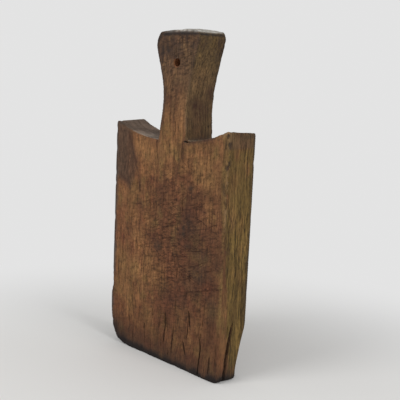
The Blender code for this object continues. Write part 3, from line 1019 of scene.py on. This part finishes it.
def ground_colour(n, t, sideways, on_handle, head):
    """The wood's broad colours, before its grain, stains and dirt."""
    pale = n.plus(n.mask("pale", 0.86), n.spread(t.mottle, 0.3, 0.7, -0.14, 0.26))
    red = n.plus(n.mask("red", 0.6), n.spread(t.tint, 0.50, 0.72, 0.0, 0.55))
    khaki = n.plus(n.mask("khaki", 0.7), n.spread(t.tint, 0.48, 0.30, 0.0, 0.5))
    colour = n.mix(n.larger(pale, 0.0, clamp=True), MID_BROWN, GOLDEN)
    colour = n.mix(n.math("MINIMUM", red, 0.8), colour, REDDISH)
    colour = n.mix(n.math("MINIMUM", khaki, 0.85), colour, KHAKI)
    side_colour = n.mix(n.mask("pale", 0.4), OLIVE, GOLDEN)
    side_colour = n.mix(n.mask("red", 0.6), side_colour, REDDISH)
    colour = n.mix(n.times(sideways, 0.85), colour, side_colour)
    colour = n.mix(n.times(on_handle, 0.7), colour, HANDLE_BROWN)
    colour = n.mix(n.times(head, sideways, 0.35), colour, OLIVE)
    return n.mix(n.mask("grey", 0.92), colour, WEATHERED)


def fibre_level(n, t, boosted, height):
    """How light or dark the fibres are, stronger in some places than in others."""
    strands = n.plus(n.times(t.fibre, 0.36), n.times(t.hair, 0.16), n.times(t.broad, 0.20),
                     n.times(t.ring, 0.08), n.times(t.bundle, 0.20))
    swing = n.times(n.math("SUBTRACT", strands, 0.5), n.spread(t.mottle, 0.35, 0.65, 3.6, 6.6))
    swing = n.times(swing, n.plus(n.times(boosted, 0.9), n.spread(height, 0.258, 0.275, 1.0, 0.7)))
    patchy = n.times(n.math("SUBTRACT", t.speck, 0.5), n.plus(n.mask("chopped", 1.7), 0.9))
    level = n.math("MINIMUM", n.larger(n.plus(swing, patchy, 1.04), 0.34), 1.8)
    return n.times(level, n.spread(t.pore, 0.0, 1.0, 1.0, 0.6))


def end_colour(n, t, where):
    """The end grain: creamy on the left shoulder, olive on the right one, grey on the head."""
    across, inward, height = where.outputs
    creamy = n.times(n.spread(across, -0.070, -0.040), n.spread(inward, 0.012, -0.010),
                     n.spread(t.speck, 0.40, 0.58, 0.35, 1.0))
    ends = n.mix(n.times(creamy, 0.8), END_GRAIN, END_CREAM)
    ends = n.mix(n.spread(across, 0.02, 0.03, 0.0, 0.5), ends, OLIVE)
    ends = n.mix(n.spread(height, 0.34, 0.37), ends, HEAD_END)
    level = n.plus(n.spread(t.ring, 0.3, 0.7, 0.8, 1.1), n.spread(t.speck, 0.3, 0.7, -0.2, 0.2),
                   n.spread(t.mottle, 0.35, 0.65, -0.3, 0.35))
    return n.shade(ends, level)


def wood_material():
    """Old wood: tones, painted highlights and painted shade from the mesh's masks, and grain, pores,
    scratches and grime from noise.
    """
    material = bpy.data.materials.new("old_wood")
    material.use_nodes = True
    n = Nodes(material)
    shader = material.node_tree.nodes["Principled BSDF"]
    shader.inputs["Specular IOR Level"].default_value = 0.14

    place = n.add("ShaderNodeTexCoord", {}, "Object")
    normal = n.add("ShaderNodeNewGeometry", {}, "Normal")
    facing = n.add("ShaderNodeSeparateXYZ", {0: normal}).node
    where = n.add("ShaderNodeSeparateXYZ", {0: place}).node
    height = where.outputs[2]
    sideways = n.larger(n.spread(facing.outputs[0], 0.5, 0.85),
                        n.spread(facing.outputs[0], -0.5, -0.85, 0.0, 0.45))
    sideways = n.math("SUBTRACT", sideways, n.mask("wrap", 0.9), clamp=True)
    endways = n.spread(n.math("ABSOLUTE", facing.outputs[2]), 0.6, 0.85)
    on_handle = n.larger(n.spread(height, 0.268, 0.335),
                         n.times(n.spread(height, 0.258, 0.262), sideways))
    head = n.spread(height, 0.325, 0.355)
    t = wood_noises(n, place)

    colour = ground_colour(n, t, sideways, on_handle, head)
    colour = n.shade(colour, fibre_level(n, t, n.larger(sideways, head), height))

    # Fibres torn out or lifted between the cuts, in short rows along them
    crumb = n.noise(n.stretch(n.tilt(place, 16), (0.36, 1, 1)), 420, 3, 0.55)
    ruffle = n.plus(n.spread(crumb, 0.66, 0.52, -0.44, 0.04), n.spread(crumb, 0.46, 0.34, 0.0, 0.26))
    ruffle = n.plus(n.mask("chopped", ruffle), 1.0)
    colour = n.shade(colour, ruffle)

    # Stains soak in unevenly, and the torn fibres show through them.
    ragged = n.plus(n.times(t.speck, 0.6), n.times(t.fibre, 0.4))
    ragged = n.spread(ragged, 0.39, 0.59, 0.2, 1.0)
    colour = n.mix(n.times(n.mask("stain", 0.95), ragged), colour, STAIN)
    colour = n.mix(n.times(n.mask("iron", 0.9), ragged), colour, IRON_GREY)
    colour = n.shade(colour, n.plus(n.times(ruffle, 0.4), 0.6))

    fine = n.larger(scratches(n, place, 14, 760), scratches(n, place, -17, 900))
    fine = n.mask("chopped", n.larger(fine, scratches(n, place, 34, 1050)))
    colour = n.mix(n.times(fine, 0.5), colour, SCRATCH_AND_GROOVE_SHADE)
    # Worn tan edges with a painted highlight on them
    rubbed_and_highlight = n.times(n.mask("rub_and_highlight", 0.75), n.spread(t.speck, 0.38, 0.55, 0.35, 1.0))
    colour = n.mix(rubbed_and_highlight, colour, RUBBED_AND_HIGHLIGHT)
    colour = n.mix(n.times(endways, 0.92), colour, end_colour(n, t, where))

    # Grime from hands on the head's faces, less on its sides and least on its end
    grime = n.spread(n.plus(n.times(t.tint, 0.5), n.times(t.speck, 0.5)), 0.44, 0.60, 0.0, 0.62)
    grime = n.times(grime, n.spread(height, 0.32, 0.37), n.spread(endways, 0.0, 1.0, 1.0, 0.1),
                    n.spread(sideways, 0.0, 1.0, 1.0, 0.7))
    colour = n.mix(grime, colour, GRIME_AND_SHADE)
    for name, coat, strength, speckled in COATS:
        amount = n.mask(name, strength)
        if speckled:
            amount = n.times(amount, n.spread(t.speck, *speckled, 1.0))
        colour = n.mix(amount, colour, coat)

    relief = n.plus(n.times(t.fibre, 0.5), n.times(t.hair, 0.3), n.times(n.plus(t.pore, fine), -0.35),
                    n.times(t.speck, 0.45))
    bump = n.add("ShaderNodeBump", {"Strength": 0.8, "Distance": 0.0008, "Height": relief})
    rough = n.spread(n.plus(n.times(t.fibre, 0.5), n.times(t.speck, 0.5)), 0.3, 0.7, 0.58, 0.86)
    for name, socket in (("Base Color", colour), ("Roughness", rough), ("Normal", bump)):
        material.node_tree.links.new(socket, shader.inputs[name])
    return material


def plain_material(name, colour, roughness):
    material = bpy.data.materials.new(name)
    material.use_nodes = True
    shader = material.node_tree.nodes["Principled BSDF"]
    shader.inputs["Base Color"].default_value = (*colour, 1)
    shader.inputs["Roughness"].default_value = roughness
    return material


# ---- Floor, lights and camera ----

def floor_material():
    """A pale floor that fades into the bright surround away from the board."""
    material = plain_material("floor", (0.72, 0.715, 0.70), 0.8)
    n = Nodes(material)
    tree = material.node_tree
    place = n.add("ShaderNodeTexCoord", {}, "Object")
    distance = n.vector("DISTANCE", place, (0.1, -0.1, 0), "Value")
    glow = n.add("ShaderNodeEmission", {"Color": (1, 1, 1, 1), "Strength": SURROUND})
    both = n.add("ShaderNodeMixShader", {0: n.spread(distance, 0.2, 0.6),
                                        1: tree.nodes["Principled BSDF"].outputs[0], 2: glow})
    tree.links.new(both, tree.nodes["Material Output"].inputs["Surface"])
    return material


def add_floor():
    mesh = bmesh.new()
    bmesh.ops.create_circle(mesh, cap_ends=True, radius=4.0, segments=128)
    data = bpy.data.meshes.new("floor")
    mesh.to_mesh(data)
    mesh.free()
    data.materials.append(floor_material())
    floor = bpy.data.objects.new("floor", data)
    bpy.context.scene.collection.objects.link(floor)


def add_area_light(name, place, target, width, power):
    light = bpy.data.lights.new(name, "AREA")
    light.shape = "DISK"
    light.size = width
    light.energy = power
    item = bpy.data.objects.new(name, light)
    item.location = place
    item.rotation_euler = (Vector(target) - Vector(place)).to_track_quat("-Z", "Y").to_euler()
    bpy.context.scene.collection.objects.link(item)


def add_lights():
    middle = (0, 0, HEIGHT / 2)
    add_area_light("left_softbox", (-0.35, -1.5, 1.1), middle, 0.9, 15)
    add_area_light("right_softbox", (1.6, -0.1, 1.1), middle, 0.9, 15)
    world = bpy.data.worlds.new("studio")
    world.use_nodes = True
    n = Nodes(world)
    seen = n.add("ShaderNodeLightPath", {})
    background = world.node_tree.nodes["Background"]
    background.inputs["Color"].default_value = (1, 1, 1, 1)
    level = n.spread(seen, 0.0, 1.0, SURROUND_LIGHT, SURROUND)
    world.node_tree.links.new(level, background.inputs["Strength"])
    bpy.context.scene.world = world
    bpy.context.scene.view_settings.view_transform = "Standard"


def add_camera():
    camera = bpy.data.cameras.new("camera")
    camera.lens = CAMERA_LENS
    camera.sensor_width = 36
    camera.clip_start = 0.01
    item = bpy.data.objects.new("camera", camera)
    item.location = CAMERA_PLACE
    item.rotation_euler = Euler([math.radians(angle) for angle in CAMERA_TURN])
    bpy.context.scene.collection.objects.link(item)
    bpy.context.scene.camera = item


add_camera()
add_floor()
add_lights()
board = build_board()
board.data.materials.append(wood_material())
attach(board, "root")
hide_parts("board")
